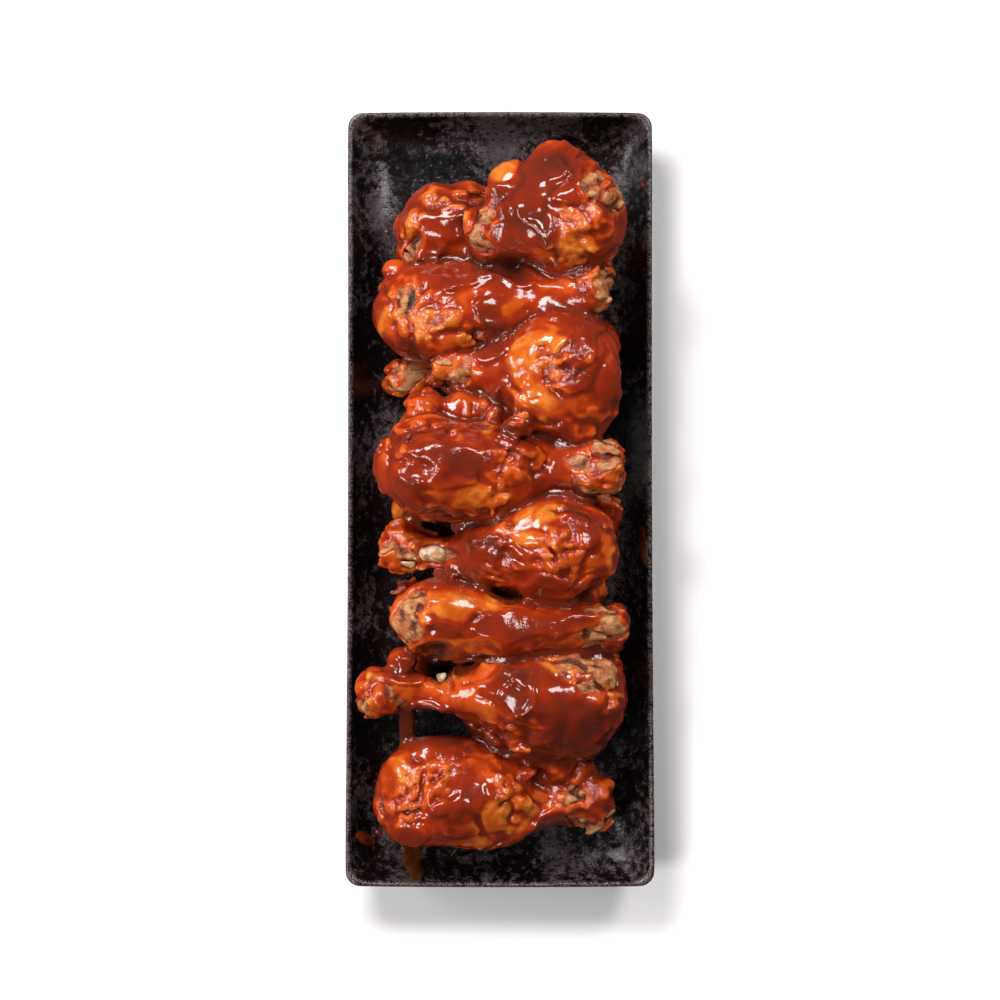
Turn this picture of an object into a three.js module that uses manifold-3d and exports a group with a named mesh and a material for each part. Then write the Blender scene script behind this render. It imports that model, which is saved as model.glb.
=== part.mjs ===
// A long stoneware dish heaped with glazed chicken drumsticks.
//
// Millimetres, +Z up. The origin is on the table, under the middle of the dish: +Y runs along the
// dish's length and +X across it. The dish is one solid: a foot ring, a flared wall and a flat floor.
// Each drumstick is one solid with a knuckle, a thin shank and a meaty end. Four lie on the floor of
// the dish under the others, and the rest lie across the dish, turned head to tail by turns.
import * as THREE from "three";
import { mergeVertices } from "three/addons/utils/BufferGeometryUtils.js";
import Module from "manifold-3d";

const wasm = await Module();
wasm.setup();

// Driving dimensions of the dish.
const DISH_LENGTH = 330;
const DISH_WIDTH = 131;
const DISH_CORNER_RADIUS = 6.5;
const CORNER_SPREAD = 0.3; // how much rounder the corners get for each millimetre inside the outline
const RIM_HEIGHT = 24;
const FLOOR_HEIGHT = 8;
const FOOT_RECESS = 2;
const SIDE_PINCH = 0.7; // how far the hand-pressed long sides come in at the middle
const END_BOW = 0.4; // how far the ends bulge out at the middle
const CORNER_STEPS = 5;
const LONG_SIDE_STEPS = 8;
const SHORT_SIDE_STEPS = 4;

// Driving dimensions that all drumsticks share.
const RINGS = 15;
const SIDES = 13;
const RINGS_BENEATH = 12; // a drumstick that lies under others is built more simply
const SIDES_BENEATH = 10;
const TOUCH_GAP = 0.35; // clearance left between solids that rest on each other
const LOBE_SPREAD = 0.17; // how far the knuckle's two lobes stand out, as a share of its radius
const TIP_HOLLOW = 2; // depth of the hollow between the two lobes
const SMALL_LUMP = 9.5; // a lump under this radius has coarser facets

// The wall of the dish from under its middle, round the rim, to its floor: how far each ring lies
// inside the outline, its height, and whether it belongs to the inside of the dish.
const DISH_SECTION = [
  { inset: 25, z: FOOT_RECESS },
  { inset: 23.6, z: 0 },
  { inset: 17, z: 0 },
  { inset: 15.4, z: FOOT_RECESS },
  { inset: 8, z: 0.26 * RIM_HEIGHT },
  { inset: 2.4, z: 0.6 * RIM_HEIGHT },
  { inset: 0.3, z: 0.88 * RIM_HEIGHT },
  { inset: 0, z: RIM_HEIGHT - 0.9 },
  { inset: 0.6, z: RIM_HEIGHT - 0.15 },
  { inset: 1.4, z: RIM_HEIGHT, inside: true },
  { inset: 2.3, z: RIM_HEIGHT - 0.7, inside: true },
  { inset: 3.6, z: 0.86 * RIM_HEIGHT, inside: true },
  { inset: 7, z: 0.64 * RIM_HEIGHT, inside: true },
  { inset: 11.5, z: FLOOR_HEIGHT + 2.8, inside: true },
  { inset: 17, z: FLOOR_HEIGHT + 0.7, inside: true },
  { inset: 24, z: FLOOR_HEIGHT, inside: true },
];

// Where each drumstick lies, lowest first. knuckle and head are the tips of its two ends. girth is the
// width of the meaty end and depth its height, knob the width of the knuckle and neck that of the
// shank. bow moves the middle of the shank. Lumps are folds of meat or skin: [x, y, z, radius].
const DRUMSTICKS = [
  { knuckle: [-49, 49, 17], head: [48, 67, 25], girth: 38, depth: 32, knob: 14, neck: 11, beneath: true },
  { knuckle: [50.5, -9, 22], head: [-47, -7, 25], girth: 37, depth: 32, knob: 20, neck: 12, beneath: true,
    lumps: [[46.5, -5.5, 27, 5]] },
  { knuckle: [-45, -44, 18], head: [46, -38, 25], girth: 36, depth: 32, knob: 19, neck: 12, beneath: true },
  { knuckle: [50, -74, 19], head: [-41, -67, 25], girth: 33, depth: 32, knob: 18, neck: 12, beneath: true },
  { knuckle: [48, 105, 19], head: [-43, 114, 27], girth: 36, depth: 36, knob: 22, neck: 14,
    lumps: [[-28, 123, 28, 10.5], [-15, 125, 27, 9], [-37, 103, 26, 8]] },
  { knuckle: [47, -130, 20], head: [-52, -125, 29.5], girth: 49, depth: 42, knob: 21, neck: 18,
    lumps: [[43, -124, 24, 6], [12, -113, 27, 8.4], [23, -115, 26, 8.4], [33, -116, 24, 7.5]] },
  { knuckle: [-59.5, -82, 38], head: [52.5, -87, 33], girth: 46, depth: 43, knob: 26, neck: 13,
    bow: [0, 1, 3], lumps: [[-54, -74, 42, 4.5], [45, -71, 34, 5.5], [-41, -69, 41, 6]] },
  { knuckle: [53, -55, 45], head: [-46.5, -50, 46], girth: 32, depth: 36, knob: 23, neck: 18,
    bow: [0, -2, 0] },
  { knuckle: [-51, -23, 38], head: [48.5, -21.5, 54], girth: 44, depth: 41, knob: 23, neck: 14,
    bow: [0, -2, 0], lumps: [[-42, -14, 40, 6]] },
  { knuckle: [51, 12, 47], head: [-50, 11, 56], girth: 48, depth: 43, knob: 27, neck: 17,
    bow: [0, -4, 0], lumps: [[-32, 36, 46, 8.8], [-17, 34, 42, 9], [-4, 33, 41, 8]] },
  { knuckle: [-28, 53, 39], head: [50, 46, 53], girth: 49, depth: 43, knob: 20, neck: 18,
    bow: [0, 2, 0], lumps: [[32, 28, 50, 9.4]] },
  { knuckle: [45.5, 88, 49], head: [-53, 75, 34], girth: 39, depth: 40, knob: 22, neck: 17,
    bow: [0, -3, 2],
    lumps: [[-44, 94, 36, 5.5], [-42, 85, 34, 9], [-11, 66, 36, 8.5], [-1, 91, 38, 9], [14, 92, 42, 7.5]] },
  { knuckle: [-13, 107, 42], head: [51, 120, 55], girth: 51, depth: 42, knob: 23, neck: 24,
    bow: [0, 2, 0], lumps: [[6, 126, 45, 12], [23, 139, 52, 8], [11, 141, 50, 4]] },
];

const geometryOf = (positions, triangles) =>
  new THREE.BufferGeometry()
    .setAttribute("position", new THREE.Float32BufferAttribute(positions, 3))
    .setIndex(triangles);

// A closed surface through rings of equal count, capped by a point at each end.
function skinRings(firstPoint, rings, lastPoint) {
  const count = rings[0].length;
  const positions = [firstPoint, ...rings.flat(), lastPoint].flatMap((p) => p.toArray());
  const last = 1 + rings.length * count;
  const at = (ring, i) => 1 + ring * count + (i % count);
  const triangles = [];
  for (let i = 0; i < count; i++) {
    triangles.push(0, at(0, i + 1), at(0, i));
    triangles.push(last, at(rings.length - 1, i), at(rings.length - 1, i + 1));
  }
  for (let ring = 0; ring < rings.length - 1; ring++) {
    for (let i = 0; i < count; i++) {
      triangles.push(at(ring, i), at(ring, i + 1), at(ring + 1, i));
      triangles.push(at(ring, i + 1), at(ring + 1, i + 1), at(ring + 1, i));
    }
  }
  return geometryOf(positions, triangles);
}

function solidOf(geometry) {
  const bare = geometry.clone();
  bare.deleteAttribute("normal");
  bare.deleteAttribute("uv");
  const merged = mergeVertices(bare, 1e-4);
  return new wasm.Manifold(
    new wasm.Mesh({
      numProp: 3,
      vertProperties: merged.attributes.position.array,
      triVerts: new Uint32Array(merged.index.array),
    }),
  );
}

function geometryFrom(solid) {
  const mesh = solid.getMesh();
  const positions = [];
  for (let i = 0; i < mesh.numVert; i++) {
    positions.push(...mesh.vertProperties.subarray(i * mesh.numProp, i * mesh.numProp + 3));
  }
  return geometryOf(positions, Array.from(mesh.triVerts));
}

// The dish's outline, drawn in by inset: a rounded rectangle with hand-pressed sides.
function dishOutline(inset, z) {
  const halfWidth = DISH_WIDTH / 2 - inset;
  const halfLength = DISH_LENGTH / 2 - inset;
  const radius = DISH_CORNER_RADIUS + CORNER_SPREAD * inset;
  const corners = [[1, 1], [-1, 1], [-1, -1], [1, -1]];
  const points = [];
  corners.forEach(([sideX, sideY], corner) => {
    const centre = new THREE.Vector2(sideX * (halfWidth - radius), sideY * (halfLength - radius));
    for (let step = 0; step <= CORNER_STEPS; step++) {
      const angle = (corner + step / CORNER_STEPS) * (Math.PI / 2);
      points.push(new THREE.Vector2(Math.cos(angle), Math.sin(angle)).multiplyScalar(radius).add(centre));
    }
    const [nextX, nextY] = corners[(corner + 1) % 4];
    const from = points.at(-1);
    const turn = ((corner + 1) * Math.PI) / 2;
    const to = new THREE.Vector2(
      nextX * (halfWidth - radius) + radius * Math.cos(turn),
      nextY * (halfLength - radius) + radius * Math.sin(turn),
    );
    const steps = corner % 2 ? LONG_SIDE_STEPS : SHORT_SIDE_STEPS;
    for (let step = 1; step < steps; step++) {
      points.push(from.clone().lerp(to, step / steps));
    }
  });
  return points.map(({ x, y }) => {
    const pinch = SIDE_PINCH * Math.cos((Math.PI * y) / DISH_LENGTH) * (x / (DISH_WIDTH / 2));
    const bow = END_BOW * Math.cos((Math.PI * x) / DISH_WIDTH) * (y / (DISH_LENGTH / 2)) ** 3;
    return new THREE.Vector3(x - pinch, y + bow, z);
  });
}

// clearance swells the inside of the dish, to cut what rests in it.
function dish(clearance = 0) {
  const rings = DISH_SECTION.map(({ inset, z, inside }) =>
    dishOutline(inside ? inset + clearance : inset, inside ? z + clearance : z),
  );
  const under = new THREE.Vector3(0, 0, FOOT_RECESS);
  const floor = new THREE.Vector3(0, 0, FLOOR_HEIGHT + clearance);
  return skinRings(under, rings, floor);
}

// Radius along a drumstick: x runs from 0 at the knuckle's tip to 1 at the tip of the meaty end. The
// meat ends in a cuff where it meets the shank.
function drumstickProfile({ knob, neck, girth }) {
  const knuckle = knob / 2;
  const shank = neck / 2;
  const meat = girth / 2;
  return new THREE.SplineCurve(
    [
      [0, 0],
      [0.006, 0.6 * knuckle],
      [0.045, 0.98 * knuckle],
      [0.1, 0.94 * knuckle],
      [0.18, 0.6 * shank + 0.4 * knuckle],
      [0.27, 0.98 * shank],
      [0.34, 0.86 * shank + 0.14 * meat],
      [0.41, 0.62 * shank + 0.38 * meat],
      [0.52, 0.2 * shank + 0.8 * meat],
      [0.65, 0.97 * meat],
      [0.78, meat],
      [0.89, 0.84 * meat],
      [0.965, 0.54 * meat],
      [0.997, 0.2 * meat],
      [1, 0],
    ].map(([along, radius]) => new THREE.Vector2(along, radius)),
  );
}

// swell grows the drumstick all round, to cut what it rests on.
function drumstick(size, index, swell = 0) {
  const knuckle = new THREE.Vector3(...size.knuckle);
  const head = new THREE.Vector3(...size.head);
  const bend = new THREE.Vector3(...(size.bow ?? [0, 0, 0]));
  const middle = knuckle.clone().lerp(head, 0.45).addScaledVector(bend, 2);
  const spine = new THREE.QuadraticBezierCurve3(knuckle, middle, head);
  const profile = drumstickProfile(size);
  const along = head.clone().sub(knuckle).normalize();
  const aside = new THREE.Vector3(-along.y, along.x, 0).normalize();
  const above = along.clone().cross(aside);
  const ringCount = size.beneath ? RINGS_BENEATH : RINGS;
  const sides = size.beneath ? SIDES_BENEATH : SIDES;

  const rings = [];
  for (let ring = 1; ring < ringCount; ring++) {
    const { x, y: radius } = profile.getPoint(ring / ringCount);
    const share = THREE.MathUtils.clamp(x, 0, 1);
    const centre = spine.getPoint(share).addScaledVector(along, (2 * share - 1) * swell);
    const meaty = THREE.MathUtils.smoothstep(share, 0.35, 0.65);
    const knobby = 1 - THREE.MathUtils.smoothstep(share, 0.08, 0.25);
    const flatten = THREE.MathUtils.lerp(1, size.depth / size.girth, meaty);
    rings.push(
      Array.from({ length: sides }, (_, i) => {
        const angle = (i / sides) * 2 * Math.PI;
        const uneven =
          1 +
          LOBE_SPREAD * knobby * Math.cos(2 * angle + 0.4 * index) +
          0.045 * Math.sin(2 * angle + 1.7 * index + 3 * share) +
          0.04 * Math.sin(3 * angle - 2.3 * index + 6 * share);
        return centre
          .clone()
          .addScaledVector(aside, (radius * uneven + swell) * Math.cos(angle))
          .addScaledVector(above, (radius * uneven * flatten + swell) * Math.sin(angle));
      }),
    );
  }
  const tip = knuckle.clone().addScaledVector(along, TIP_HOLLOW - swell);
  const end = head.clone().addScaledVector(along, swell);
  let solid = solidOf(skinRings(tip, rings, end));
  for (const [x, y, z, radius] of size.lumps ?? []) {
    const detail = radius < SMALL_LUMP ? 1 : 2;
    const lump = new THREE.IcosahedronGeometry(radius + swell, detail).translate(x, y, z);
    solid = solid.add(solidOf(lump));
  }
  return solid;
}

const platter = new THREE.Group();

function addNode(name, geometry, material) {
  const mesh = new THREE.Mesh(geometry, material);
  mesh.name = name;
  platter.add(mesh);
}

const stoneware = new THREE.MeshStandardMaterial({ color: 0x1b1416, roughness: 0.45, metalness: 0 });
addNode("dish", dish(), stoneware);

const dishRoom = solidOf(dish(TOUCH_GAP));
DRUMSTICKS.forEach((size, index) => {
  let solid = drumstick(size, index).subtract(dishRoom);
  DRUMSTICKS.slice(index + 1).forEach((upper, later) => {
    solid = solid.subtract(drumstick(upper, index + 1 + later, TOUCH_GAP));
  });
  const whole = solid.decompose().reduce((a, b) => (a.volume() > b.volume() ? a : b));
  const glazedMeat = new THREE.MeshStandardMaterial({ color: 0xa63c18, roughness: 0.25, metalness: 0 });
  addNode(`drumstick_${String(index + 1).padStart(2, "0")}`, geometryFrom(whole), glazedMeat);
});

export default platter;
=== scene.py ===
import math

import bmesh
import bpy
import numpy as np
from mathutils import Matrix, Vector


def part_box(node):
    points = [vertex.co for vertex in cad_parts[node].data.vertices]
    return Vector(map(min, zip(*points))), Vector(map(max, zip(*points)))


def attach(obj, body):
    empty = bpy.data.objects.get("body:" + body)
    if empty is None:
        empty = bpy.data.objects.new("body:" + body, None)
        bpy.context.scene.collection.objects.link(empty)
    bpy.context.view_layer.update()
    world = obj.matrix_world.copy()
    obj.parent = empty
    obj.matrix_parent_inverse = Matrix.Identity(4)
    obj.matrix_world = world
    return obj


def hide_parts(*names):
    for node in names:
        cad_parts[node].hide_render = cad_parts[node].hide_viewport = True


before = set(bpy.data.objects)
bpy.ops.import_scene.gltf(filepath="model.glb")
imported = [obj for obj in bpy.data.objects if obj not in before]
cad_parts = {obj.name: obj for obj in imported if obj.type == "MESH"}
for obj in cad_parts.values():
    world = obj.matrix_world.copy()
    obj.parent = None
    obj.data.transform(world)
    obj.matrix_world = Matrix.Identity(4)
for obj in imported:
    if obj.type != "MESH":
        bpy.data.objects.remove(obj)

import openvdb as vdb
from mathutils import Vector

bl_info = {
    "name": "Glazed Drumstick Platter",
    "version": (1, 0, 0),
    "blender": (4, 5, 0),
    "location": "3D View > Sidebar > Platter",
    "description": "Roast drumsticks, their sauce and their stoneware dish, built around fixed solids",
    "category": "Add Mesh",
}

MM = 0.001
VOXEL = 0.6 * MM
SHADE = 0.74  # what the studio's bright light lets a colour's albedo be, next to how it should look
BAND = 10 * VOXEL  # how far from a surface its distance is still measured
ROOM = 4 * MM  # how far a drumstick's skin may stand out over its solid
CLEARANCE = 0.15 * MM  # between two drumsticks' skins
COVER = 0.25 * MM  # skin this deep under the sauce can't be seen, nor can sauce this deep in the skin
HIDDEN_SHARE = 0.05  # how many of the skin's faces are kept that lie under sauce or low in the dish
HIDDEN_HEIGHT = 0.65  # below this share of the rim's height the dish hides the heap's underside
SAUCE_SHARE = 0.76  # how many of the sauce's faces are kept
SAUCE_CUTS = [-1, -0.05, 0.04, 1]  # where y parts the sauce into its pieces
LEAST_SKIN = 2000  # loose bits of skin with fewer faces are dropped
LEAST_SAUCE = 150  # and of sauce
FLOOR_SIZE = 6  # metres
VIEW_WIDTH = 0.425  # how much the camera sees, at the height of the rim
AIM_Y = -1.6 * MM  # where the camera aims, along the dish
STICKS = sorted(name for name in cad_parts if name.startswith("drumstick_"))
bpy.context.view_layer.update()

# What shows from above on each drumstick, by kind, as (along, across, length, width, turn). along runs
# from 0 at the knuckle's tip to 1 at the tip of the meat, across from -1 at the near edge of the meat to 1
# at its far edge. The patch is length by width millimetres, and turned by so many degrees from the
# drumstick's own direction towards the far side. Sauce lies thick or thin there, meat is bare, skin is
# rough, sauce forms a crest, skin is folded in or has a hole, a gap opens beside it, or bone shows.
# Holes and gaps are also painted dark on the skin, as painted shade.
MARKS = {
    "drumstick_13": {
        "thick": [(0.6, 0.6, 24, 16), (0.4, -0.2, 10, 22), (0.3, 0.1, 8, 10)],
        "thin": [(0.66, -0.66, 28, 18), (0.7, -0.2, 18, 10), (0.25, 0.7, 14, 16)],
        "bare": [(0.94, 0.3, 11, 22), (0.15, -0.1, 8, 10)],
        "rough": [(0.2, 0, 16, 20), (0.92, 0.2, 12, 24)],
        "crest": [
            (0.42, -0.2, 20, 3, -60), (0.3, 0, 16, 3, -60), (0.7, 0.6, 20, 4, -30),
            (0.85, 0.5, 2.5, 24, -10),
        ],
        "fold": [(0.55, 0, 18, 3, 50), (0.38, 0.6, 20, 3, 80)],
        "hole": [(0.87, 0, 3, 3)],
    },
    "drumstick_05": {
        "thick": [(0.75, 0, 20, 12)],
        "thin": [(0.85, 0.6, 14, 10), (0.95, -0.1, 8, 10)],
        "bare": [(0.9, -0.5, 8, 8), (0.58, -0.4, 8, 10), (0.6, 0.3, 8, 6)],
        "rough": [(0.75, 0.6, 30, 14), (0.6, -0.2, 16, 24), (0.95, -0.3, 12, 20)],
        "crest": [(0.76, 0, 16, 5, 10)],
        "fold": [(0.9, 0.3, 12, 3, 20), (0.68, 0.3, 12, 3, 80)],
        "hole": [(0.6, -0.1, 3, 4)],
    },
    "drumstick_12": {
        "thick": [
            (0.4, 0.5, 44, 12), (0.15, -0.3, 26, 12), (0.45, -0.5, 14, 10), (0.87, -0.8, 14, 8),
            (0.65, 0.4, 12, 8),
        ],
        "thin": [(0.75, -0.3, 16, 10), (0.6, -0.9, 18, 10), (0.95, -0.1, 8, 14), (0.38, -0.2, 8, 6)],
        "bare": [(0.84, 0.2, 8, 10), (0.02, 0.2, 8, 12), (0.03, -0.6, 6, 8)],
        "rough": [(0.75, -0.2, 26, 16), (0.86, 0.2, 14, 16)],
        "crest": [(0.44, 0.45, 40, 4, 20), (0.66, 0.3, 12, 4, -20), (0.47, -0.5, 10, 5)],
        "fold": [(0.66, -0.6, 16, 3, 20), (0.84, -0.3, 3, 14, 10), (0.5, -0.4, 12, 3, 60)],
        "hole": [(0.82, 0.2, 3, 6)],
    },
    "drumstick_11": {
        "thick": [
            (0.75, 0.9, 34, 12), (0.3, 0.3, 20, 18), (0.93, -0.1, 8, 18), (0.3, -0.5, 18, 10),
            (0.75, -1.1, 20, 8),
        ],
        "thin": [(0.53, 0.25, 26, 20), (0.6, -0.4, 26, 11, -15), (0.7, -0.8, 12, 6)],
        "rough": [(0.76, 0.1, 26, 22)],
        "crest": [
            (0.26, -0.5, 16, 3, -25), (0.4, -0.4, 12, 3, 40), (0.55, -0.9, 24, 4), (0.36, 0.6, 6, 5),
        ],
        "fold": [(0.74, 0, 10, 2, 30), (0.9, 0.1, 3, 22), (0.5, -0.3, 18, 2.5, -10)],
        "hole": [(0.7, 0.05, 2.5, 3)],
    },
    "drumstick_10": {
        "thick": [(0.72, 0, 30, 12), (0.88, -0.4, 12, 16), (0.75, -1, 20, 8), (0.75, 1.1, 34, 14)],
        "thin": [(0.62, 0.6, 20, 10), (0.56, -0.55, 24, 12), (0.54, 0.4, 8, 12)],
        "bare": [(0.1, -0.4, 18, 12), (0.1, 0.1, 22, 18), (0.06, 0.4, 16, 10)],
        "rough": [(0.45, -0.05, 24, 16), (0.08, 0.2, 20, 24), (0.8, 0.15, 30, 26)],
        "crest": [
            (0.9, -0.1, 3, 16), (0.86, -0.5, 12, 4, 30), (0.68, 0.5, 10, 4, -40), (0.5, 0.4, 4, 14),
        ],
        "fold": [(0.1, 0.25, 14, 2.5, -20), (0.95, 0, 3, 24), (0.6, -0.3, 20, 2.5, 10)],
        "hole": [(0.08, 0.3, 6, 2)],
        "gap": [(0.74, -1, 40, 14)],
    },
    "drumstick_09": {
        "thick": [
            (0.45, -0.1, 16, 8), (0.75, -0.7, 22, 10), (0.36, -0.4, 26, 6), (0.08, 0.3, 10, 6),
            (0.92, 0.3, 10, 10),
        ],
        "thin": [(0.68, 0.7, 28, 10), (0.6, 0.2, 16, 8), (0.98, -0.2, 5, 12)],
        "bare": [(0.06, 0, 12, 14), (0.18, -0.4, 8, 6)],
        "rough": [(0.8, -0.1, 24, 20), (0.1, 0, 20, 24)],
        "crest": [
            (0.5, 0, 20, 3.5, -15), (0.6, -0.4, 8, 3, 10), (0.09, 0.3, 7, 3, 10), (0.26, -0.5, 10, 2.5, 4),
        ],
        "fold": [(0.9, -0.3, 14, 2.5, 60), (0.85, -0.7, 16, 2.5, 40)],
        "hole": [(0.79, -0.1, 6, 4)],
        "gap": [(0.34, 0.66, 36, 14), (0.5, -0.85, 18, 9)],
        "bone": [(0.25, -0.1, 16, 7.6, 4), (0.12, -0.4, 6, 5)],
    },
    "drumstick_08": {
        "thick": [(0.4, 0, 28, 12), (0.22, 0.1, 22, 8), (0.76, -0.2, 10, 10)],
        "thin": [(0.68, 0.4, 30, 10), (0.93, 0.3, 8, 10)],
        "bare": [(0.9, -0.1, 17, 22), (0.07, -0.3, 13, 14)],
        "rough": [(0.4, -0.2, 24, 10), (0.87, 0, 16, 20)],
        "crest": [(0.77, -0.1, 8, 3, 40), (0.62, 0.1, 10, 3, -20), (0.2, 0.2, 22, 3, -10)],
        "fold": [(0.8, -0.4, 14, 2.5, -40)],
        "hole": [(0.84, 0.1, 3, 2)],
        "gap": [(0.72, -1, 26, 8), (0.52, 0.8, 14, 8)],
    },
    "drumstick_07": {
        "thick": [
            (0.55, 0.1, 26, 20), (0.75, -0.2, 26, 20), (0.18, 0.3, 18, 14), (0.1, -0.2, 10, 12),
            (0.8, -0.7, 24, 8),
        ],
        "thin": [
            (0.62, 0.7, 26, 7), (0.7, 0.4, 12, 6), (0.5, -0.35, 14, 7), (0.92, 0.1, 7, 12),
            (0.6, -0.9, 16, 5),
        ],
        "bare": [(0.84, 0.52, 30, 18), (0.05, 0.3, 5, 8)],
        "rough": [(0.06, 0.2, 12, 20), (0.93, 0.1, 8, 20)],
        "crest": [
            (0.58, 0.3, 14, 3, -30), (0.64, -0.05, 3, 14), (0.6, -0.3, 10, 3, 30),
            (0.76, 0.3, 16, 2.5, -15), (0.2, 0.4, 12, 4, -20),
        ],
        "fold": [(0.75, 0.5, 20, 2.5, -20), (0.9, -0.1, 3, 24, 20)],
        "gap": [(0.34, 0.5, 26, 10)],
        "bone": [(0.29, 0.2, 8, 6, -20)],
    },
    "drumstick_06": {
        "thick": [(0.64, 0, 12, 24), (0.75, 0.9, 22, 10), (0.26, 0.7, 24, 8), (0.08, 0.4, 14, 10)],
        "thin": [(0.5, -0.35, 34, 20), (0.62, -0.75, 24, 10), (0.92, 0.5, 6, 12), (0.7, 0.4, 6, 4)],
        "bare": [(0.15, -0.1, 12, 10)],
        "rough": [(0.72, 0.45, 14, 12), (0.88, 0, 16, 30), (0.36, 0.2, 14, 8), (0.15, 0, 24, 18)],
        "crest": [
            (0.77, 0.1, 3, 16, -20), (0.7, -0.4, 4, 14, -20), (0.36, 0.3, 14, 5, 10),
            (0.24, 0.4, 10, 4, -10), (0.85, -0.5, 12, 3, -10),
        ],
        "fold": [(0.82, 0.1, 3, 22, -10), (0.6, -0.5, 16, 2.5, 40)],
        "hole": [(0.72, 0.45, 4, 3), (0.86, -0.3, 3, 4)],
    },
    "drumstick_04": {
        "thick": [(0.85, 0, 14, 12)],
        "thin": [(0.95, 0.4, 8, 8)],
        "bare": [(0.75, 0, 8, 12)],
        "gap": [(0.78, -0.3, 30, 20)],
    },
    "drumstick_03": {
        "thin": [(0.95, 0.1, 8, 12)],
        "rough": [(0.9, 0, 16, 20)],
    },
    "drumstick_02": {
        "thick": [(0.02, 0, 6, 10)],
        "thin": [(0.98, 0, 8, 12)],
        "rough": [(0.05, 0, 20, 20)],
        "gap": [(0.76, -0.4, 40, 22)],
    },
    "drumstick_01": {
        "thick": [(0.28, 0, 12, 12)],
        "bare": [(0.05, 0, 14, 14)],
        "rough": [(0.05, 0, 20, 20)],
    },
}

# Sauce and oil spilt in the dish, as (kind, across, along, length, width, turn, height): across and along
# run from -1 to 1 over the dish, the length lies across the dish before it is turned, sizes millimetres.
SPILLS = [
    ("sauce", -0.87, -0.88, 8, 5, -30, 1.6), ("sauce", -0.79, -0.865, 4, 2.5, -20, 0.9),
    ("oil", -0.57, -0.94, 8, 17, 15, 0.4), ("oil", -0.62, -0.9, 5, 9, 30, 0.3),
    ("oil", 0.93, -0.12, 3.2, 20, 4, 0.5), ("sauce", 0.935, 0.81, 2, 3, 0, 0.6),
    ("oil", -0.74, 0.7, 3, 2, 20, 0.5), ("oil", -0.7, 0.66, 2, 1.6, 0, 0.4),
]

# Strings of sauce that hang from one drumstick to the next, as (from, along, across, to, along, across,
# width in millimetres).
STRINGS = [
    ("drumstick_07", 0.18, -0.1, "drumstick_06", 0.87, 0.6, 8),
]


# ---- Distance fields on one lattice that all pieces share ----


class Block:
    """A box of points of the shared lattice: low is its first point's index, shape its counts."""

    def __init__(self, low, shape):
        self.low = np.asarray(low, int)
        self.shape = tuple(int(n) for n in shape)

    @classmethod
    def around(cls, low, high, margin):
        first = np.floor((low - margin) / VOXEL).astype(int)
        last = np.ceil((high + margin) / VOXEL).astype(int)
        return cls(first, last - first + 1)

    def axes(self):
        """x, y and z of the points, ready to broadcast."""
        return [
            ((self.low[k] + np.arange(self.shape[k])) * VOXEL)
            .astype(np.float32)
            .reshape([-1 if k == axis else 1 for axis in range(3)])
            for k in range(3)
        ]

    def overlap(self, other):
        """The slices of this block and of the other that hold the same points, or None."""
        low = np.maximum(self.low, other.low)
        high = np.minimum(self.low + self.shape, other.low + other.shape)
        if np.any(high <= low):
            return None
        mine = tuple(slice(a - s, b - s) for a, b, s in zip(low, high, self.low))
        theirs = tuple(slice(a - s, b - s) for a, b, s in zip(low, high, other.low))
        return mine, theirs


def noise(block, cell, seed, stretch=(1, 1, 1)):
    """A smooth random field, mostly within -1..1, whose bumps are about cell millimetres across."""
    weights = []
    for count, longer in zip(block.shape, stretch):
        at = np.arange(count) * VOXEL / (cell * MM * longer)
        base = np.floor(at).astype(int)
        f = at - base
        spline = (
            (1 - f) ** 3,
            3 * f**3 - 6 * f**2 + 4,
            -3 * f**3 + 3 * f**2 + 3 * f + 1,
            f**3,
        )
        matrix = np.zeros((count, base[-1] + 4), np.float32)
        for step, weight in enumerate(spline):
            matrix[np.arange(count), base + step] += weight / 6
        weights.append(matrix)
    random = np.random.default_rng(seed)
    values = random.standard_normal([m.shape[1] for m in weights]).astype(np.float32)
    for matrix in weights:
        values = np.moveaxis(np.tensordot(matrix, values, (1, 0)), 0, 2)
    return np.ascontiguousarray(values) * 2.2


def crease(field, width):
    """Thin lines, 1 at their middle, where a field passes through zero."""
    return np.exp(-((field / width) ** 2))


def smoothstep(low, high, values):
    t = np.clip((values - low) / (high - low), 0, 1)
    return t * t * (3 - 2 * t)


def spread(values, sigma):
    """A wide blur, as three running means."""
    reach = max(1, round(sigma * MM / VOXEL))
    for axis in range(3):
        values = np.moveaxis(values, axis, 0)
        for _ in range(3):
            padded = np.concatenate([values[:1]] * (reach + 1) + [values] + [values[-1:]] * reach)
            total = np.cumsum(padded, axis=0, dtype=np.float32)
            values = (total[2 * reach + 1 :] - total[: -2 * reach - 1]) / (2 * reach + 1)
        values = np.moveaxis(values, 0, axis)
    return values


def blur(values, sigma):
    """A Gaussian blur, sigma millimetres wide."""
    sigma *= MM
    reach = int(math.ceil(2.6 * sigma / VOXEL))
    taps = np.exp(-0.5 * (np.arange(-reach, reach + 1) * VOXEL / sigma) ** 2)
    taps = (taps / taps.sum()).astype(np.float32)
    for axis in range(3):
        count = values.shape[axis]
        index = np.arange(count)
        total = np.zeros_like(values)
        for shift, tap in zip(range(-reach, reach + 1), taps):
            total += tap * values.take(np.clip(index + shift, 0, count - 1), axis)
        values = total
    return values


def close_crevices(block, values, radius):
    """The field with every crevice filled that a ball of that radius doesn't reach into."""
    away = measure(block, *surface(block, values))
    grown = measure(block, *surface(block, away - radius))
    return np.minimum(values, grown + radius)


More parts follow.
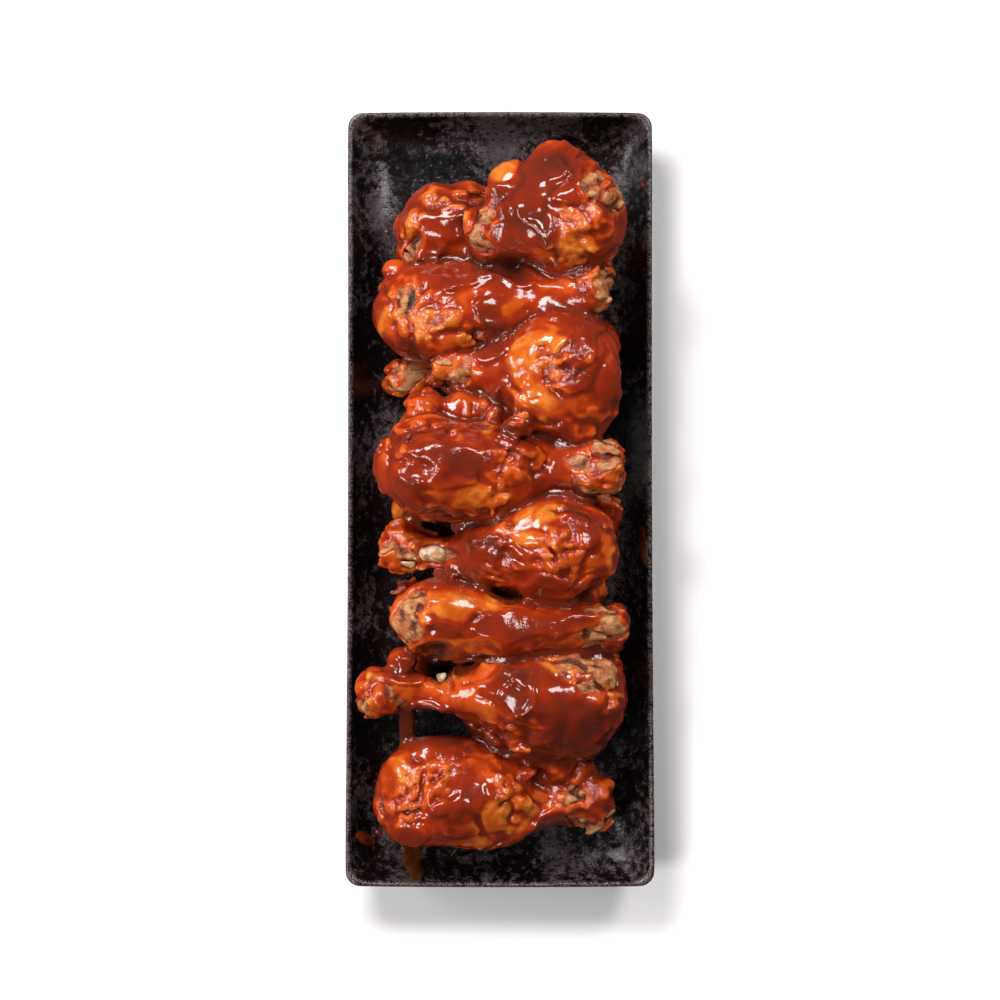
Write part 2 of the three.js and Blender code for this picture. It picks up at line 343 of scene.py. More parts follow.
def sample(block, values, points):
    """The field's value at each of the points, linearly between the lattice's."""
    at = points / VOXEL - block.low
    at = np.clip(at, 0, np.array(block.shape) - 1.001)
    base = np.floor(at).astype(int)
    f = (at - base).astype(np.float32)
    total = np.zeros(len(points), np.float32)
    for corner in range(8):
        step = np.array([corner >> 2 & 1, corner >> 1 & 1, corner & 1])
        weight = np.prod(np.where(step, f, 1 - f), axis=1)
        i, j, k = (base + step).T
        total += weight * values[i, j, k]
    return total


def mesh_triangles(mesh):
    """The mesh's points, and the indices of each triangle's corners."""
    mesh.calc_loop_triangles()
    points = np.empty(len(mesh.vertices) * 3, np.float32)
    mesh.vertices.foreach_get("co", points)
    triangles = np.empty(len(mesh.loop_triangles) * 3, np.int32)
    mesh.loop_triangles.foreach_get("vertices", triangles)
    return points.reshape(-1, 3), triangles.reshape(-1, 3)


def measure(block, points, faces):
    """The signed distance from a closed surface, below zero inside it."""
    kind = "triangles" if faces.shape[1] == 3 else "quads"
    grid = vdb.FloatGrid.createLevelSetFromPolygons(
        points,
        **{kind: faces},
        transform=vdb.createLinearTransform(voxelSize=VOXEL),
        halfWidth=BAND / VOXEL,
    )
    values = np.empty(block.shape, np.float32)
    grid.copyToArray(values, ijk=tuple(int(n) for n in block.low))
    return values


def surface(block, values):
    """The points and quads where a field passes through zero."""
    grid = vdb.FloatGrid(BAND)
    grid.transform = vdb.createLinearTransform(voxelSize=VOXEL)
    grid.copyFromArray(
        np.ascontiguousarray(values), ijk=tuple(int(n) for n in block.low)
    )
    return grid.convertToQuads(0.0)


def turned(ahead, aside, degrees):
    """The two distances, measured from a direction turned by so many degrees."""
    angle = math.radians(degrees)
    return (
        ahead * math.cos(angle) + aside * math.sin(angle),
        aside * math.cos(angle) - ahead * math.sin(angle),
    )


def from_middle(ahead, aside, length, width):
    """How far out a point lies in an ellipse of that size in millimetres: 1 on its edge."""
    return np.hypot(ahead / (0.5 * length * MM), aside / (0.5 * width * MM))


def largest_parts(count, faces, least):
    """Which faces belong to a connected part of at least that many faces."""
    label = np.arange(count)
    while True:
        lowest = label[faces].min(axis=1)
        new = label.copy()
        for side in range(faces.shape[1]):
            np.minimum.at(new, faces[:, side], lowest)
        new = new[new]
        if np.array_equal(new, label):
            break
        label = new
    part = label[faces[:, 0]]
    size = np.bincount(part, minlength=count)
    return size[part] >= least


def add_attribute(mesh, name, values):
    """Gives each vertex a value that a material can read."""
    layer = mesh.attributes.new(name, "FLOAT", "POINT")
    layer.data.foreach_set("value", values.astype(np.float32))


def make_piece(name, points, faces, material, attributes=None):
    """A smooth mesh object that rides with the platter."""
    used, index = np.unique(faces, return_inverse=True)
    points = points[used]
    faces = index.reshape(faces.shape)
    mesh = bpy.data.meshes.new(name)
    sides = faces.shape[1]
    mesh.vertices.add(len(points))
    mesh.vertices.foreach_set("co", points.astype(np.float32).ravel())
    mesh.loops.add(faces.size)
    mesh.loops.foreach_set("vertex_index", faces.astype(np.int32).ravel())
    mesh.polygons.add(len(faces))
    mesh.polygons.foreach_set("loop_start", np.arange(len(faces), dtype=np.int32) * sides)
    mesh.update(calc_edges=True)
    mesh.validate()
    mesh.shade_smooth()
    for key, values in (attributes or {}).items():
        add_attribute(mesh, key, values[used])
    mesh.materials.append(material)
    piece = bpy.data.objects.new(name, mesh)
    bpy.context.scene.collection.objects.link(piece)
    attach(piece, "root")
    return piece


def simplify(piece, chosen, share):
    """Leaves that share of the faces between the chosen vertices, and the others as they are."""
    group = piece.vertex_groups.new(name="chosen")
    group.add(np.flatnonzero(chosen).tolist(), 1.0, "REPLACE")
    thinner = piece.modifiers.new("thinner", "DECIMATE")
    thinner.ratio = 1 - (1 - share) * chosen.mean()
    thinner.vertex_group = group.name
    bpy.context.view_layer.objects.active = piece
    bpy.ops.object.modifier_apply(modifier=thinner.name)
    piece.vertex_groups.clear()
    piece.data.shade_smooth()


# ---- Shader maths ----


def linear(red, green, blue):
    """The albedo that looks like this screen colour, 0 to 255, in the studio's light."""
    return tuple(
        SHADE * (c / 12.92 if c <= 0.04045 else ((c + 0.055) / 1.055) ** 2.4)
        for c in (red / 255, green / 255, blue / 255)
    )


class Wire:
    """A shader socket that can be used in Python expressions."""

    def __init__(self, sheet, socket):
        self.sheet = sheet
        self.socket = socket

    def _math(self, operation, first, second):
        return self.sheet.node("ShaderNodeMath", {"operation": operation}, {0: first, 1: second})

    def __add__(self, other):
        return self._math("ADD", self, other)

    def __radd__(self, other):
        return self._math("ADD", other, self)

    def __sub__(self, other):
        return self._math("SUBTRACT", self, other)

    def __mul__(self, other):
        return self._math("MULTIPLY", self, other)


class Sheet:
    """One material's node tree."""

    def __init__(self, name):
        self.material = bpy.data.materials.new(name)
        self.material.use_nodes = True
        self.tree = self.material.node_tree
        self.tree.nodes.clear()
        self.place = self.node("ShaderNodeTexCoord", {}, {}, "Object")

    def node(self, kind, settings, values, output=0):
        made = self.tree.nodes.new(kind)
        for key, value in settings.items():
            if key == "stops":
                ramp = made.color_ramp
                while len(ramp.elements) < len(value):
                    ramp.elements.new(0.5)
                for element, (at, colour) in zip(ramp.elements, value):
                    element.position = at
                    element.color = (*colour, 1)
            else:
                setattr(made, key, value)
        for key, value in values.items():
            if isinstance(value, Wire):
                self.tree.links.new(value.socket, made.inputs[key])
            elif isinstance(value, tuple) and made.inputs[key].type == "RGBA":
                made.inputs[key].default_value = (*value, 1)
            else:
                made.inputs[key].default_value = value
        return Wire(self, made.outputs[output])

    def attribute(self, name):
        return self.node("ShaderNodeAttribute", {"attribute_name": name}, {}, "Fac")

    def noise(self, cell, detail=2.0, roughness=0.5, distortion=0.0, squeeze=(1, 1, 1)):
        scaled = self.node("ShaderNodeVectorMath", {"operation": "MULTIPLY"}, {0: self.place, 1: squeeze})
        values = {"Vector": scaled, "Scale": 1 / (cell * MM), "Detail": detail}
        values |= {"Roughness": roughness, "Distortion": distortion}
        return self.node("ShaderNodeTexNoise", {}, values, "Fac")

    def cells(self, cell):
        """The distance to the nearest of scattered points, about cell millimetres apart."""
        values = {"Vector": self.place, "Scale": 1 / (cell * MM)}
        return self.node("ShaderNodeTexVoronoi", {}, values, "Distance")

    def between(self, value, low, high, start=0.0, end=1.0):
        """value run smoothly from start to end as it goes from low to high."""
        values = {"Value": value, "From Min": low, "From Max": high, "To Min": start, "To Max": end}
        return self.node("ShaderNodeMapRange", {"interpolation_type": "SMOOTHSTEP"}, values)

    def mix(self, factor, first, second):
        return self.node("ShaderNodeMix", {"data_type": "RGBA"}, {0: factor, 6: first, 7: second}, 2)

    def bump(self, height, distance):
        return self.node("ShaderNodeBump", {}, {"Height": height, "Distance": distance * MM})

    def finish(self, values):
        shader = self.node("ShaderNodeBsdfPrincipled", {}, values)
        output = self.tree.nodes.new("ShaderNodeOutputMaterial")
        self.tree.links.new(shader.socket, output.inputs["Surface"])
        return self.material


def skin_material():
    """Roast skin under a thin orange-red glaze, and torn golden meat where the glaze is missing, partly
    painted shade in its creases, painted shade in its holes and gaps, and painted light on the meat's
    ridges.
    """
    sheet = Sheet("glazed skin")
    bare = sheet.attribute("bare")
    hollow = sheet.attribute("hollow")
    thin = sheet.attribute("thin")
    dark = sheet.attribute("dark")
    broad = sheet.noise(7, 3.0)
    fine = sheet.noise(2.4, 4.0, 0.6, 0.6)
    fibres = sheet.noise(1.3, 4.0, 0.65, 0.8, (0.45, 1, 1))
    grain = sheet.noise(0.7, 3.0, 0.6)

    glaze = sheet.mix(sheet.between(broad, 0.38, 0.62), linear(150, 50, 16), linear(184, 68, 20))
    glaze = sheet.mix(sheet.between(thin + (fine - 0.5) * 0.8, 0.2, 0.9), glaze, linear(220, 108, 32))
    glaze = sheet.mix(sheet.between(fine, 0.5, 0.75) * 0.6, glaze, linear(120, 38, 14))
    # Creases darken: partly glaze gathered in them, partly painted shade.
    glaze = sheet.mix(sheet.between(hollow, 0.1, 0.7), glaze, linear(76, 24, 10))
    height = hollow + (fibres - 0.5) * 1.2
    dry = sheet.mix(sheet.between(fibres, 0.38, 0.56), linear(136, 64, 26), linear(222, 148, 84))
    dry = sheet.mix(sheet.between(broad, 0.42, 0.6) * 0.6, dry, linear(194, 88, 36))
    # The meat's ridges are painted paler and its hollows darker: painted light and shade, mixed with the
    # fibres' own streaks.
    dry = sheet.mix(sheet.between(height, -0.2, -0.8) * 0.5, dry, linear(238, 188, 124))
    dry = sheet.mix(sheet.between(height, 0.0, 0.4), dry, linear(104, 46, 19))
    dry = sheet.mix(sheet.between(grain, 0.52, 0.64) * 0.5, dry, linear(118, 56, 26))
    colour = sheet.mix(sheet.between(bare + (fine - 0.5) * 0.8, 0.3, 0.7), glaze, dry)
    # Holes and gaps are painted nearly black: painted shade.
    colour = sheet.mix(sheet.between(dark, 0.2, 1.0), colour, linear(44, 17, 7))

    relief = grain * (0.15 + bare * 0.8) + fibres * (0.3 + bare * 1.3)
    return sheet.finish({
        "Base Color": colour,
        "Roughness": 0.14 + bare * 0.08 + grain * 0.12,
        "Normal": sheet.bump(relief, 0.5),
    })


def sauce_material():
    """Wet barbecue sauce: an orange film, deep red-brown where it lies thick, darker in its creases partly
    as painted shade, with painted shade on its steep sides and a painted greyish reflection on its pools.
    """
    sheet = Sheet("barbecue sauce")
    depth = sheet.attribute("depth")
    thin = sheet.attribute("thin")
    rough = sheet.attribute("rough")
    hollow = sheet.attribute("hollow")
    pool = sheet.attribute("pool")
    broad = sheet.noise(8, 3.0, 0.5, 0.5)
    streaks = sheet.noise(3, 4.0, 0.6, 1.2)
    fine = sheet.noise(1.1, 3.0)
    # Creases are coloured as deeper sauce: partly sauce lying deeper there, partly painted shade.
    seen = depth + hollow * 0.55 + (broad - 0.5) * 0.3 + (streaks - 0.5) * 0.2 + (fine - 0.5) * 0.06
    stops = [
        (0.0, linear(206, 80, 22)), (0.07, linear(182, 59, 15)), (0.2, linear(157, 47, 15)),
        (0.4, linear(139, 42, 16)), (0.65, linear(114, 41, 23)), (1.0, linear(80, 32, 21)),
    ]
    colour = sheet.node("ShaderNodeValToRGB", {"stops": stops}, {"Fac": seen}, "Color")
    glow = sheet.between(thin - seen * 2.2 + (broad - 0.5) * 0.6 + (streaks - 0.5) * 0.3, 0.05, 1.0)
    amber = sheet.mix(sheet.between(broad, 0.4, 0.65), linear(208, 90, 22), linear(236, 136, 48))
    colour = sheet.mix(glow, colour, amber)
    # Pools are tinted greyish: a painted reflection.
    colour = sheet.mix(sheet.between(pool, 0.2, 0.9) * 0.6, colour, linear(122, 60, 46))
    specks = sheet.between(sheet.cells(2.4), 0.16, 0.08) * sheet.between(broad, 0.5, 0.6)
    colour = sheet.mix(specks * (0.2 + thin * 0.6), colour, linear(60, 22, 10))
    relief = sheet.noise(2.6, 2.0) * (0.2 + rough * 1.1) + fine * (0.04 + rough * 0.45)
    return sheet.finish({
        "Base Color": colour,
        "Roughness": 0.07 + fine * 0.1,
        "Normal": sheet.bump(relief, 0.5),
    })


def bone_material():
    """Cooked bone and gristle: cream, browned in blotches, half wet."""
    sheet = Sheet("cooked bone")
    broad = sheet.noise(3.5, 3.0)
    fine = sheet.noise(1.1, 3.0, 0.6)
    colour = sheet.mix(sheet.between(broad, 0.4, 0.62), linear(250, 232, 196), linear(204, 146, 88))
    colour = sheet.mix(sheet.between(fine, 0.55, 0.72) * 0.5, colour, linear(140, 80, 42))
    return sheet.finish({
        "Base Color": colour,
        "Roughness": 0.22 + fine * 0.15,
        "Normal": sheet.bump(fine, 0.25),
    })


def oil_material():
    """Brown fat that ran out of the sauce and dried thin on the dish."""
    sheet = Sheet("brown fat")
    blotches = sheet.noise(2.2, 3.0)
    return sheet.finish({
        "Base Color": sheet.mix(blotches, linear(30, 16, 10), linear(120, 66, 26)),
        "Roughness": 0.12 + blotches * 0.1,
    })


def stoneware_material():
    """Black glaze, clouded and mottled charcoal, with a thin paler line on the rim, paler towards its ends
    partly as painted sheen.
    """
    sheet = Sheet("black stoneware")
    rim = sheet.attribute("rim")
    ends = sheet.attribute("ends")
    clouds = sheet.noise(32, 3.0, 0.55, 0.6)
    mottle = sheet.noise(3.4, 5.0, 0.68, 0.3)
    grain = sheet.noise(0.7, 3.0, 0.6)
    spots = sheet.between(sheet.cells(2.6), 0.1, 0.3, 1.0, 0.0)

    grey = sheet.mix(sheet.between(grain, 0.35, 0.65), linear(44, 34, 36), linear(106, 94, 96))
    # Towards both ends the glaze is mottled and clouded paler: partly its own clouding, partly painted
    # sheen, with the darker middle standing for painted shade.
    amount = sheet.between(mottle + (clouds - 0.5) * 0.9 + ends * 0.07, 0.5, 0.72)
    colour = sheet.mix(amount, linear(13, 9, 10), grey)
    colour = sheet.mix(sheet.between(clouds, 0.5, 0.7) * ends * 0.7, colour, linear(66, 59, 60))
    colour = sheet.mix(spots * amount, colour, linear(9, 7, 7))
    worn = sheet.mix(sheet.between(grain, 0.42, 0.58), linear(34, 27, 27), linear(118, 106, 100))
    wear = rim * sheet.between(mottle * 0.5 + grain * 0.5, 0.44, 0.56)
    colour = sheet.mix(wear, colour, worn)
    relief = mottle + grain * 0.3 - spots * 0.35
    return sheet.finish({
        "Base Color": colour,
        "Roughness": sheet.between(mottle, 0.35, 0.65, 0.17, 0.29),
        "Specular IOR Level": 0.45,
        "Normal": sheet.bump(relief, 0.25),
    })


# ---- Settings ----


class DrumstickSettings(bpy.types.PropertyGroup):
    bulges: bpy.props.FloatProperty(
        name="Bulges", description="Height of the meat's broad unevenness",
        default=1.5 * MM, unit="LENGTH",
    )
    folds: bpy.props.FloatProperty(
        name="Skin folds", description="Depth of the creases between folds of skin",
        default=1.2 * MM, unit="LENGTH",
    )
    blisters: bpy.props.FloatProperty(
        name="Blisters", description="Height of the blistered skin and torn gristle",
        default=1.3 * MM, unit="LENGTH",
    )


class SauceSettings(bpy.types.PropertyGroup):
    film: bpy.props.FloatProperty(
        name="Film", description="Thickness of the usual coat", default=0.35 * MM, unit="LENGTH",
    )
    pour: bpy.props.FloatProperty(
        name="Pour", description="Further thickness where sauce lies thick",
        default=1.3 * MM, unit="LENGTH",
    )
    fillet: bpy.props.FloatProperty(
        name="Fillet", description="Radius of the sauce's surface where it gathers in a crevice",
        default=3.4 * MM, unit="LENGTH",
    )


class StudioSettings(bpy.types.PropertyGroup):
    powers: bpy.props.FloatVectorProperty(
        name="Softbox powers", description="Power of the softbox behind, beside, before and low",
        size=4, default=(16.1, 8.5, 6.8, 3.7), unit="POWER",
    )
    distance: bpy.props.FloatProperty(
        name="Camera distance", description="From the table to the camera", default=1.25, unit="LENGTH",
    )
    tilt: bpy.props.FloatProperty(
        name="Camera tilt", description="How far the camera leans from straight above",
        default=math.radians(3.5), subtype="ANGLE",
    )


# ---- Pieces ----


class Drumstick:
    """One drumstick's distance field and masks, grown from its solid."""

    def __init__(self, node, index, settings):
        self.node = node
        points, triangles = mesh_triangles(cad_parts[node].data)
        self.block = block = Block.around(points.min(0), points.max(0), ROOM)
        plain = blur(measure(block, points, triangles), 1.6) - 0.2 * MM
        self.locate(points, triangles)
        seed = 100 * index
        warp = [
            2.4 * MM * noise(block, 7, seed + k) + 1.0 * MM * noise(block, 3, seed + 2 + k)
            for k in (0, 1)
        ]
        self.along += warp[0]
        self.across += warp[1]

        knuckle = 1 - smoothstep(0.12, 0.24, self.along / self.length)
        patchy = noise(block, 6, seed + 10) + 0.5 * noise(block, 3, seed + 11)
        thick = self.patches("thick", 0.6)
        self.thin = self.patches("thin", 0.75) * (1 - 0.7 * thick)
        hole = self.patches("hole", 0.7)
        bare = knuckle * smoothstep(0.1, 0.7, patchy) * (1 - thick)
        self.bare = np.maximum(bare, self.patches("bare") * smoothstep(-1.0, -0.2, patchy))
        torn = self.patches("bone", 0.5, 1.3)
        self.gap = self.patches("gap", 0.5)
        self.crest = self.patches("crest", 0.9)
        patchwise = smoothstep(0.1, 0.8, noise(block, 12, seed + 12))
        self.rough = np.clip(np.maximum(self.patches("rough"), 0.8 * patchwise) + 0.5 * knuckle, 0, 1)
        self.rough *= 1 - 0.7 * thick

        self.field = plain - self.relief(seed, settings, knuckle, hole, torn)
        # Holes and gaps get painted shade on the skin.
        self.dark = np.maximum(hole, 0.9 * self.gap)
        pools = smoothstep(0.1, 0.7, noise(block, 13, seed + 30) + 0.3 * patchy)
        self.pour = np.clip(
            np.maximum(pools * (1 - self.thin), thick) - self.bare - hole - torn - self.gap, 0, 1
        )
        self.bone = self.rods("bone", plain)
        self.bare = np.maximum(self.bare, torn)

    def relief(self, seed, settings, knuckle, hole, torn):
        """How far the skin stands out over the smooth solid."""
        block = self.block
        fold = noise(block, 10, seed + 20, (1.4, 1, 1)) + 0.35 * noise(block, 4, seed + 21)
        relief = settings.bulges * noise(block, 14, seed + 22) * (1 - 0.5 * knuckle)
        relief += 0.5 * settings.bulges * noise(block, 7, seed + 23, (1.5, 1, 1))
        relief -= settings.folds * crease(fold, 0.2) * (0.3 + 1.1 * self.rough)
        blisters = np.abs(noise(block, 5, seed + 24, (1.3, 1, 1))) - 0.6
        blisters += 0.6 * (np.abs(noise(block, 2.6, seed + 25)) - 0.6)
        grit = noise(block, 1.5, seed + 26, (2.5, 1, 1))
        broken = np.maximum(self.rough, self.bare)
        relief += settings.blisters * blisters * (0.2 + 0.8 * broken)
        relief += 0.5 * MM * grit * (0.1 + 0.9 * broken)
        relief += 0.8 * MM * self.thin - 0.5 * MM * self.bare
        relief -= (1.8 + 1.2 * blisters) * MM * hole
        relief -= 1.5 * MM * self.patches("fold", 0.9) + 3.2 * MM * torn + 4.2 * MM * self.gap
        return relief

    def locate(self, points, triangles):
        """Where each lattice point lies along the drumstick and across it, from its knuckle's tip."""
        corners = points[triangles]
        middle = corners.mean(1)
        area = np.linalg.norm(
            np.cross(corners[:, 1] - corners[:, 0], corners[:, 2] - corners[:, 0]), axis=1
        )
        centre = np.average(middle, axis=0, weights=area)
        weighted = (middle - centre) * np.sqrt(area)[:, None]
        axis = np.linalg.svd(weighted, full_matrices=False)[2][0]
        run = (middle - centre) @ axis
        thick = np.linalg.norm((middle - centre) - run[:, None] * axis, axis=1)
        if np.average(run * thick, weights=area) < 0:
            axis, run = -axis, -run
        aside = np.array([-axis[1], axis[0], 0]) / math.hypot(axis[0], axis[1])
        if aside[1] < 0:
            aside = -aside
        x, y, z = (values - start for values, start in zip(self.block.axes(), centre))
        self.length = run.max() - run.min()
        self.start, self.axis, self.aside = centre + run.min() * axis, axis, aside
        self.along = x * axis[0] + y * axis[1] + z * axis[2] - run.min()
        self.across = x * aside[0] + y * aside[1] + 0 * z
        self.half = 0.5 * np.ptp((points - centre) @ aside)
        low, high = points[:, 2].min(), points[:, 2].max()
        self.upper = smoothstep(low + 0.3 * (high - low), low + 0.55 * (high - low), z + centre[2])

    def place(self, along, across):
        """The point at that place, at the height of the drumstick's axis."""
        return self.start + along * self.length * self.axis + across * self.half * self.aside

    def around(self, along, across, turn=0):
        """How far each lattice point lies ahead of a place on this drumstick and beside it."""
        ahead = self.along - along * self.length
        return turned(ahead, self.across - across * self.half, turn)

    def rods(self, kind, skin):
        """The distance from the half-buried round rods of that kind, or None without any."""
        total = None
        for along, across, length, width, *turn in MARKS[self.node].get(kind, ()):
            ahead, aside = self.around(along, across, *turn)
            radius = 0.5 * width * MM
            beyond = np.maximum(np.abs(ahead) - 0.5 * length * MM + radius, 0)
            sunk = skin + radius + 0.3 * MM
            rod = np.sqrt(aside**2 + sunk**2 + beyond**2) - radius
            rod += 0.25 * MM * noise(self.block, 2.5, 31)
            rod = np.maximum(rod, 2 * MM * (1 - 2 * self.upper))
            total = rod if total is None else np.minimum(total, rod)
        return total

    def patches(self, kind, soft=0.35, grow=1.0):
        """A mask that is 1 on the upper side in this drumstick's patches of that kind."""
        total = np.zeros(self.block.shape, np.float32)
        for along, across, length, width, *turn in MARKS[self.node].get(kind, ()):
            away = from_middle(*self.around(along, across, *turn), length, width) / grow
            total = np.maximum(total, smoothstep(1 + soft, 1 - soft, away))
        return total * self.upper


class Heap:
    """All drumsticks' fields, and their union on one block."""

    KEYS = ("bare", "thin", "rough", "pour", "crest", "gap")
    sticks = []

    @classmethod
    def build(cls, settings):
        cls.sticks = [Drumstick(node, index, settings) for index, node in enumerate(STICKS, 1)]
        for low, stick in enumerate(cls.sticks):
            for upper in cls.sticks[low + 1 :]:
                shared = stick.block.overlap(upper.block)
                if shared:
                    mine, theirs = shared
                    apart = CLEARANCE - upper.field[theirs]
                    stick.field[mine] = np.maximum(stick.field[mine], apart)

    @classmethod
    def union(cls):
        """One block with the distance to the nearest drumstick, and that drumstick's masks."""
        low = np.min([s.block.low for s in cls.sticks], axis=0)
        high = np.max([s.block.low + s.block.shape for s in cls.sticks], axis=0)
        block = Block(low, high - low)
        nearest = np.full(block.shape, BAND, np.float32)
        masks = {key: np.zeros(block.shape, np.float32) for key in cls.KEYS}
        for stick in cls.sticks:
            mine, theirs = block.overlap(stick.block)
            closer = stick.field[theirs] < nearest[mine]
            nearest[mine] = np.where(closer, stick.field[theirs], nearest[mine])
            for key, values in masks.items():
                values[mine] = np.where(closer, getattr(stick, key)[theirs], values[mine])
        return block, nearest, masks


class PLATTER_OT_dish(bpy.types.Operator):
    """Makes the glazed stoneware dish over its plain solid"""

    bl_idname = "platter.dish"
    bl_label = "Dish"

    def execute(self, context):
        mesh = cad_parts["dish"].data.copy()
        piece = bpy.data.objects.new("stoneware_dish", mesh)
        context.scene.collection.objects.link(piece)
        context.view_layer.objects.active = piece
        weld(mesh)
        rounding = piece.modifiers.new("rounding", "SUBSURF")
        rounding.levels = rounding.render_levels = 2
        bpy.ops.object.modifier_apply(modifier=rounding.name)
        mesh = piece.data
        mesh.shade_smooth()
        points, _ = mesh_triangles(mesh)
        top = points[:, 2].max()
        add_attribute(mesh, "rim", smoothstep(top - 1.3 * MM, top - 0.3 * MM, points[:, 2]))
        # The glaze is painted paler towards both ends, partly as painted sheen.
        add_attribute(mesh, "ends", smoothstep(90 * MM, 135 * MM, np.abs(points[:, 1])))
        mesh.materials.clear()
        mesh.materials.append(stoneware_material())
        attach(piece, "root")
        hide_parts("dish")
        return {"FINISHED"}


class PLATTER_OT_spills(bpy.types.Operator):
    """Leaves drops of sauce and oil in the dish"""

    bl_idname = "platter.spills"
    bl_label = "Spills"

    def execute(self, context):
        points, triangles = mesh_triangles(bpy.data.objects["stoneware_dish"].data)
        low, high = points.min(0), points.max(0)
        block = Block.around(low, high, 2 * MM)
        dish = measure(block, points, triangles)
        x, y, z = block.axes()
        above = np.gradient(blur(dish, 1.2), VOXEL, axis=2) > 0.2
        ragged = 0.2 * noise(block, 3, 61)
        for kind, material in (("sauce", sauce_material()), ("oil", oil_material())):
            thick = np.full(block.shape, -2 * MM, np.float32)
            for named, across, along, length, width, turn, height in SPILLS:
                if named == kind:
                    offset = turned(x - across * high[0], y - along * high[1], turn)
                    away = from_middle(*offset, length, width)
                    dome = height * MM * (1 - (away + ragged) ** 2) + 0 * z
                    thick = np.maximum(thick, np.where(above, dome, -2 * MM))
            field = np.maximum(dish - thick, -dish - 0.5 * MM)
            spots, faces = surface(block, field)
            faces = faces[(sample(block, dish, spots)[faces] > -0.2 * MM).any(axis=1)]
            make_piece(f"spilt_{kind}", spots, faces, material, {"depth": 0.5 + 0 * spots[:, 0]})
        return {"FINISHED"}


def weld(mesh):
    """Joins a solid's loose triangles into one surface of mostly quads."""
    form = bmesh.new()
    form.from_mesh(mesh)
    bmesh.ops.remove_doubles(form, verts=form.verts, dist=0.01 * MM)
    bmesh.ops.join_triangles(
        form, faces=form.faces, angle_face_threshold=math.radians(30),
        angle_shape_threshold=math.radians(60),
    )
    form.to_mesh(mesh)
    form.free()


class PLATTER_OT_drumsticks(bpy.types.Operator):
    """Makes each drumstick's skin, meat and knuckle"""

    bl_idname = "platter.drumsticks"
    bl_label = "Drumsticks"

    def execute(self, context):
        Heap.build(context.scene.platter_drumsticks)
        material = skin_material()
        bone = bone_material()
        for stick in Heap.sticks:
            points, faces = surface(stick.block, stick.field)
            faces = faces[largest_parts(len(points), faces, LEAST_SKIN)]
            attributes = {
                "bare": sample(stick.block, stick.bare, points),
                "thin": sample(stick.block, stick.thin, points),
                "dark": sample(stick.block, stick.dark, points),
                "hollow": -sample(stick.block, blur(stick.field, 1.6), points) / MM,
            }
            name = stick.node.replace("drumstick", "chicken")
            stick.piece = make_piece(name, points, faces, material, attributes)
            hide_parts(stick.node)
            if stick.bone is not None:
                points, faces = surface(stick.block, stick.bone)
                make_piece(name.replace("chicken", "bone"), points, faces, bone)
        return {"FINISHED"}


